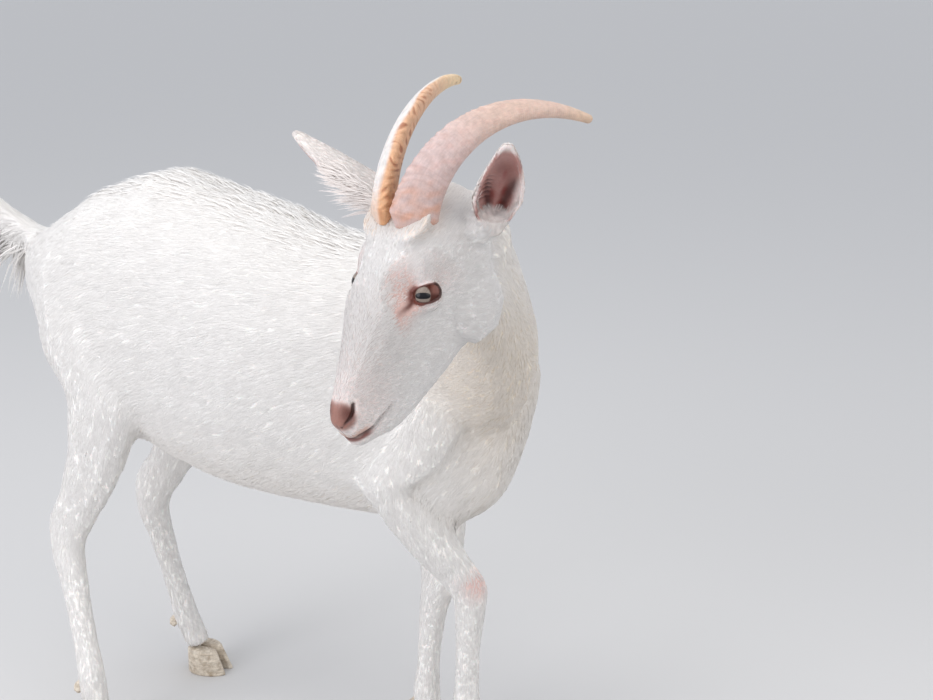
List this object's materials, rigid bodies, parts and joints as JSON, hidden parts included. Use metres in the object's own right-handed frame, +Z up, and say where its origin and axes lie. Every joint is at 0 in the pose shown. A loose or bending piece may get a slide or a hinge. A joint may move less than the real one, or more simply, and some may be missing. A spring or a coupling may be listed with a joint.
{
  "type": "goat",
  "caption": "Life-size young white dairy goat with curved horns, standing with its head turned to one side and its tail raised.",
  "frame": {"origin": "middle of the bounding box at the floor under the hooves", "axes": "+X towards the chest along the body, +Y to the goat's left, +Z up"},
  "size_m": [0.9084, 0.4874, 0.836],
  "materials": {
    "coat": "short sleek white hair",
    "ear_skin": "thin pink skin under fine white hair",
    "horn": "ringed pale keratin, satin",
    "hoof": "pale keratin, matte",
    "eye": "wet and glossy"
  },
  "bodies": {
    "root": {"ear_left": "ear_skin", "ear_right": "ear_skin", "eye_left": "eye", "eye_right": "eye", "foreleg_left_claw_left": "hoof", "foreleg_left_claw_right": "hoof", "foreleg_left_dewclaw_left": "hoof", "foreleg_left_dewclaw_right": "hoof", "foreleg_left_lower": "coat", "foreleg_left_upper": "coat", "foreleg_right_claw_left": "hoof", "foreleg_right_claw_right": "hoof", "foreleg_right_dewclaw_left": "hoof", "foreleg_right_dewclaw_right": "hoof", "foreleg_right_lower": "coat", "foreleg_right_upper": "coat", "head": "coat", "hindleg_left_claw_left": "hoof", "hindleg_left_claw_right": "hoof", "hindleg_left_dewclaw_left": "hoof", "hindleg_left_dewclaw_right": "hoof", "hindleg_left_lower": "coat", "hindleg_left_upper": "coat", "hindleg_right_claw_left": "hoof", "hindleg_right_claw_right": "hoof", "hindleg_right_dewclaw_left": "hoof", "hindleg_right_dewclaw_right": "hoof", "hindleg_right_lower": "coat", "hindleg_right_upper": "coat", "horn_left": "horn", "horn_right": "horn", "neck": "coat", "tail": "coat", "trunk": "coat"}
  },
  "joints": []
}
